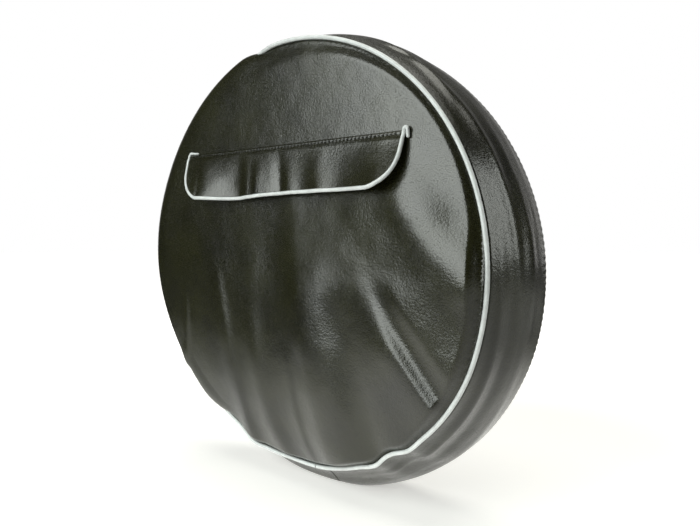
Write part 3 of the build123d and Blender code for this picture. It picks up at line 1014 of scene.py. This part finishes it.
def make_flap_cloth():
    points = flap_grid(1.6, 0.0, 0.0, 440, 96)
    piece = make_grid("flap_cloth", points, LEATHERETTE, BACKING, flip=True)
    thicken(piece, SHEET)
    apply_modifiers(piece)
    blend_at_fold(piece)
    stand_for(piece, None, "leatherette", "flap_heading", "flap_outer")
    lining = make_grid("flap_lining_cloth", flap_grid(2.4, 2.1, HEADING + 0.8, 300, 60), LINING)
    lining.data.flip_normals()
    thicken(lining, 0.5)
    apply_modifiers(lining)
    blend_at_fold(lining)
    stand_for(lining, None, "lining", "flap_lining")


def loose_end(start, turn, aside, up, steps, run):
    """An end of the flap's piping: it curls over through those angles, then runs straight."""
    bend = np.radians(turn)
    x = start[0] + TAIL_BEND + TAIL_BEND * np.cos(bend)
    curl = places(x, start[1] + aside, start[2] + up + TAIL_BEND * np.sin(bend))
    return np.concatenate([curl, curl[-1] + np.linspace(0, 1, steps)[1:, None] * np.array(run)])


def flap_bead_path():
    """Down the flap's left side, along its bottom and up its right side, with both loose ends."""
    flat = FLAP_HALF - FLAP_CORNER
    straight = FLAP_DROP - FLAP_CORNER
    turn = np.radians(np.linspace(0, 90, 40))
    down = np.linspace(1.0, straight, 26)[:-1]
    left_x = np.concatenate([np.full(len(down), -FLAP_HALF), -flat - FLAP_CORNER * np.cos(turn)])
    left_drop = np.concatenate([down, straight + FLAP_CORNER * np.sin(turn)])
    run = np.linspace(-flat, flat, 190)[1:-1]
    x = np.concatenate([left_x, run, -left_x[::-1]])
    drop = np.concatenate([left_drop, np.full(len(run), FLAP_DROP), left_drop[::-1]])
    path = flap_point(FLAP_X + x, drop, depth=0.9)
    right = loose_end(path[-1], np.linspace(180, 0, 16), -0.3, 0.9, 12, (0.2, 0.5, -5.4))
    left = loose_end(path[0], np.linspace(180, 70, 10), np.linspace(0, 0.4, 10), 0.6, 14, (9.5, 0.6, -0.8))
    return np.concatenate([left[::-1], path, right])


def make_flap_piping():
    path = flap_bead_path()
    radii = np.full(len(path), FLAP_BEAD)
    tail = 24
    radii[:tail] = FLAP_BEAD * (0.62 + 0.38 * smooth(np.arange(tail) / tail))
    radii[-22:] = FLAP_BEAD * (1 - 0.12 * smooth(np.arange(22) / 12))
    piece = make_mesh("flap_piping_bead", *tube(path, radii, sides=16), PIPING)
    blend_at_fold(piece)
    stand_for(piece, None, "piping", "flap_piping", "flap_piping_ends")
    core = make_mesh("flap_piping_inner_cord", *tube(path[tail:-tail], 1.0, sides=8, rounded=False), CORE)
    blend_at_fold(core)
    stand_for(core, None, "piping_core", "flap_piping_core")


def make_flap_stitches():
    count = int((2 * FLAP_HALF - 10) / STITCH_PITCH)
    x = FLAP_X + (np.arange(count) - (count - 1) / 2) * STITCH_PITCH
    x = x[np.abs(x - FLAP_X) < FLAP_HALF - 5]
    centres = flap_point(x, np.full(len(x), STITCH_LINE), depth=-0.05)
    directions = np.tile((1.0, 0.0, -0.08), (len(x), 1))
    sew("flap_row_of_stitches", "cover", "flap_seam_stitches", centres, directions, 2.9, 0.42)


# --- hook and loop closure
STRIP_HALF_WIDTH = loop_half[0]
STRIP_HEIGHT = 2 * loop_half[2]
STRIP_Z = loop_middle[2]
STRIP_DROP = FOLD_Z - hook_middle[2] + 1.0


def along_rectangle(half, bottom, top, pitch, shift):
    """Places along a rectangle's sides, off its corners, and how each side runs: (x, z, run, rise)."""
    corners = ((-half, bottom), (half, bottom), (half, top), (-half, top), (-half, bottom))
    for (x0, z0), (x1, z1) in zip(corners, corners[1:]):
        count = int(math.hypot(x1 - x0, z1 - z0) / pitch)
        for step in range(count):
            share = (step + shift) / count
            if share > 0:
                yield x0 + (x1 - x0) * share, z0 + (z1 - z0) * share, x1 - x0, z1 - z0


def make_tape(name, body, node, material, place, depth):
    """A tape laid on the surface that place gives."""
    x = np.linspace(-STRIP_HALF_WIDTH, STRIP_HALF_WIDTH, 80)
    h = np.linspace(-STRIP_HEIGHT / 2, STRIP_HEIGHT / 2, 22)
    points = place(*np.meshgrid(x, h), depth)
    tape = make_grid(name, points, material, flip=body == "flap")
    thicken(tape, 1.0)
    stand_for(tape, body, "hook_and_loop", node)


def strip_thread(place, depth):
    """Where stitches go round a strip, set in from its edge, on the surface that place gives."""
    centres, directions = [], []
    high = STRIP_HEIGHT / 2 - 2
    for x, h, run, rise in along_rectangle(STRIP_HALF_WIDTH - 2, -high, high, 3.2, 0.5):
        centres.append(place(x, h, depth))
        directions.append(place(x + 0.02 * run, h + 0.02 * rise, depth) - centres[-1])
    return centres, directions


def make_closure():
    def on_panel(along, up, depth):
        return panel_point(np.asarray(FLAP_X + along), np.asarray(STRIP_Z + up), depth)

    def on_flap(along, up, depth):
        return flap_point(np.asarray(FLAP_X + along), np.asarray(STRIP_DROP - up), depth)

    make_tape("loop_tape", "cover", "loop_strip", LOOPS, on_panel, -1.3)
    sew("loop_tape_stitches", "cover", "loop_strip_thread", *strip_thread(on_panel, -1.4), 2.2, 0.3)
    make_tape("hook_tape", "flap", "hook_strip", HOOKS, on_flap, 3.7)
    sew("hook_tape_stitches", "flap", "hook_strip_thread", *strip_thread(on_flap, 3.8), 2.2, 0.3)


# --- pocket
def make_mouth_binding():
    """The strip of leatherette folded over the slit's edge, as a rounded lip."""
    outline = mouth_outline(0.6, 1.6)
    middle = panel_point(outline[:, 0], outline[:, 1], depth=0.9)
    turn = np.linspace(0, 2 * np.pi, 14, endpoint=False)
    outward = np.roll(outline, -1, 0) - np.roll(outline, 1, 0)
    outward /= np.linalg.norm(outward, axis=1)[:, None]
    normal = np.stack([outward[:, 1], np.zeros(len(outline)), -outward[:, 0]], axis=1)
    ripple = 1 + 0.12 * noise(middle, 9, 51)
    ring = (
        middle[:, None, :]
        + 1.9 * ripple[:, None, None] * np.cos(turn)[None, :, None] * normal[:, None, :]
        + 1.7 * ripple[:, None, None] * np.sin(turn)[None, :, None] * np.array([0.0, 1.0, 0.0])
    )
    piece = make_grid("pocket_mouth_binding", ring, LEATHERETTE, closed=True, ring=True)
    stand_for(piece, "cover", "leatherette", "mouth_facing")


def make_bar_tacks():
    """A close zigzag of thread across each end of the slit."""
    centres, directions = [], []
    for side in (-1, 1):
        for step in range(11):
            x = MOUTH_X + side * (MOUTH_HALF + 2.4)
            z = MOUTH_Z - 5 + step
            centres.append(panel_point(np.array(x), np.array(z), depth=-0.35))
            directions.append(np.array([1.0, 0.0, 0.5 if step % 2 else -0.5]))
    sew("pocket_bar_tacks", "cover", "mouth_bar_tacks", centres, directions, 3.0, 0.34)


BAG_X = (bag_low[0] + bag_high[0]) / 2
BAG_HALF = (bag_high[0] - bag_low[0]) / 2
BAG_CORNER = 9.0


def bag_sheet(depth, billow, seed, columns=150, rows=96):
    """One half of the pocket bag: flat at its sewn edge, slack and rumpled in the middle."""
    z = np.linspace(bag_high[2], bag_low[2], rows)
    across = np.linspace(-1, 1, columns)
    edge = np.minimum(bag_high[2] - z, z - bag_low[2])
    cut = np.clip(BAG_CORNER - edge, 0, BAG_CORNER)
    half = BAG_HALF - BAG_CORNER + np.sqrt(BAG_CORNER ** 2 - cut ** 2)
    x = BAG_X + across[None, :] * half[:, None]
    z = np.broadcast_to(z[:, None], x.shape)
    inside = np.minimum(np.minimum(BAG_HALF - np.abs(x - BAG_X), bag_high[2] - z), z - bag_low[2])
    loose = smooth((inside - 5) / 34)
    sag = 0.75 + 0.5 * (bag_high[2] - z) / (bag_high[2] - bag_low[2])
    folds = noise_at(x * 1.6, 0.0, z * 0.45, 30, seed) + 0.4 * noise_at(x, 0.0, z * 0.6, 12, seed + 1)
    y_offset = depth + loose * (billow * sag + 1.3 * folds) + 0.25 * folds * smooth(inside / 6)
    return panel_point(x, z, depth=y_offset)


def make_pocket_bag():
    front = bag_sheet(3.6, 0.4, 61)
    faces = np.array(grid_faces(*front.shape[:2]))
    middle = front.reshape(-1, 3)[faces].mean(axis=1)
    faces = faces[~inside_mouth(middle[:, 0], middle[:, 2], 1.0)].tolist()
    panel = make_mesh("pocket_bag_front_cloth", front, faces, LINING)
    thicken(panel, 0.4)
    stand_for(panel, "cover", "lining", "pocket_bag_front")
    sheet = make_grid("pocket_bag_back_cloth", bag_sheet(4.6, 4.4, 71), LINING, flip=True)
    thicken(sheet, 0.4)
    stand_for(sheet, "cover", "lining", "pocket_bag_back")


def make_bag_stitches():
    """The seam round the pocket bag."""
    centres, directions = [], []
    for x, z, run, rise in along_rectangle(BAG_HALF - 3, bag_low[2] + 3, bag_high[2] - 3, 3.6, 0):
        centres.append(panel_point(np.array(BAG_X + x), np.array(z), depth=5.0))
        directions.append(np.array([run, 0.0, rise]))
    sew("pocket_bag_stitches", "cover", "pocket_bag_thread", centres, directions, 2.5, 0.3)


# --- studio
def add_light(name, place, size, power, colour):
    """A soft rectangular lamp that points at the cover."""
    data = bpy.data.lights.new(name, "AREA")
    data.shape = "RECTANGLE"
    data.size, data.size_y = size
    data.energy = power
    data.color = colour
    add_aimed(name, data, place, -place)


TABLE_CORNERS = ((-9.0, -4.0), (9.0, -4.0), (9.0, 9.0), (-9.0, 9.0))


def make_floor():
    """The table: pale to look at, with a painted glow that brightens it away from the cover; in what the
    cover reflects, a painted pool of light near the cover and painted shade that darkens it further off,
    less so to the right.
    """
    mesh = bpy.data.meshes.new("floor")
    mesh.from_pydata([(x, y, FLOOR_Z * MM) for x, y in TABLE_CORNERS], [], [(0, 1, 2, 3)])
    n = Nodes("pale_floor")
    tone = n.noise(1.2, detail=2)
    colour = n.colours(tone, (0.3, (0.84, 0.835, 0.82)), (0.7, (0.86, 0.86, 0.85)))
    distance = n.add("VectorMath", {0: n.place}, operation="LENGTH").outputs["Value"]
    across = n.add("SeparateXYZ", {"Vector": n.place}).outputs["X"]
    seen = n.add("LightPath").outputs["Is Camera Ray"]
    unlit = n.math("SUBTRACT", 1.0, seen)
    # Painted glow: to the camera the table emits light, more strongly away from the cover.
    painted_glow = n.math("MULTIPLY", n.range(distance, 0.45, 1.1, 0.45, 1.0), seen)
    # Painted pool of light: in what the cover reflects, the table emits light near the cover, less on its
    # left.
    painted_pool = n.math("MULTIPLY", n.range(distance, 0.3, 0.6, 0.6, 0.0), unlit)
    painted_pool = n.math("MULTIPLY", painted_pool, n.range(across, -0.35, -0.1, 0.1, 1.0))
    n.link(n.math("ADD", painted_glow, painted_pool), n.shader.inputs["Emission Strength"])
    # Painted shade: in what the cover reflects, the table's colour darkens away from the cover, except to
    # the right.
    near = n.range(distance, 0.3, 0.75, 1.0, 0.05)
    shade = n.math("MAXIMUM", near, n.range(across, 0.15, 0.5, 0.0, 0.85))
    fade = n.math("ADD", n.math("MULTIPLY", shade, unlit), seen)
    faded = n.vectors("SCALE", colour, {"Scale": fade})
    rough = n.range(tone, 0.3, 0.7, 0.7, 0.8)
    mesh.materials.append(n.finish(faded, rough, Emission_Color=(1, 0.985, 0.95, 1)))
    floor = bpy.data.objects.new("floor", mesh)
    bpy.context.scene.collection.objects.link(floor)


ROOM_GLOW = 0.03


def make_world():
    """White to look at; what the cover reflects is white behind it and above, and dim in front."""
    world = bpy.data.worlds.new("studio")
    n = Nodes("studio", world)
    way = n.coordinates.outputs["Generated"]
    parts = n.add("SeparateXYZ", {"Vector": way}).outputs
    soft = {"interpolation_type": "SMOOTHSTEP"}
    behind = n.range(parts["Y"], 0.05, 0.4, 0.0, 1.0, **soft)
    low = n.range(parts["Z"], 0.0, 0.5, 0.85, 0.1, **soft)
    left = n.range(parts["X"], -0.05, 0.2, 1.0, 0.0, **soft)
    backdrop = n.math("MULTIPLY", n.math("MULTIPLY", behind, low), left)
    strength = n.math("ADD", backdrop, ROOM_GLOW)
    seen = n.tree.nodes["Background"]
    seen.inputs["Color"].default_value = (1, 1, 1, 1)
    warm = {"Color": (1.0, 0.99, 0.96, 1)}
    lit = n.add("Background", {"Strength": strength}, warm).outputs["Background"]
    ray = n.add("LightPath").outputs["Is Camera Ray"]
    mix = n.add("MixShader", {"Fac": ray, 1: lit, 2: seen.outputs["Background"]}).outputs["Shader"]
    n.link(mix, n.tree.nodes["World Output"].inputs["Surface"])
    bpy.context.scene.world = world


def make_studio():
    make_floor()
    make_world()
    add_light("window", at_direction(-17.4, 19.5, 2.2), (1.7, 1.95), 56, (0.95, 1.0, 0.96))
    add_light("overhead", Vector((0.0, 0.1, 1.7)), (2.2, 1.6), 26, (1.0, 1.0, 0.93))
    add_light("right_panel", at_direction(120, 19, 1.94), (0.56, 1.25), 8.2, (0.96, 1.0, 0.95))
    bpy.context.scene.view_settings.view_transform = "Standard"


make_front_panel()
make_side_band()
make_joint_allowance()
make_rim_piping()
make_rim_stitches()
make_hem()
make_flap_cloth()
make_flap_piping()
make_flap_stitches()
make_closure()
make_mouth_binding()
make_bar_tacks()
make_pocket_bag()
make_bag_stitches()
for slot in frame["nodes"]["elastic_cord"].material_slots:
    slot.material = ELASTIC
make_studio()
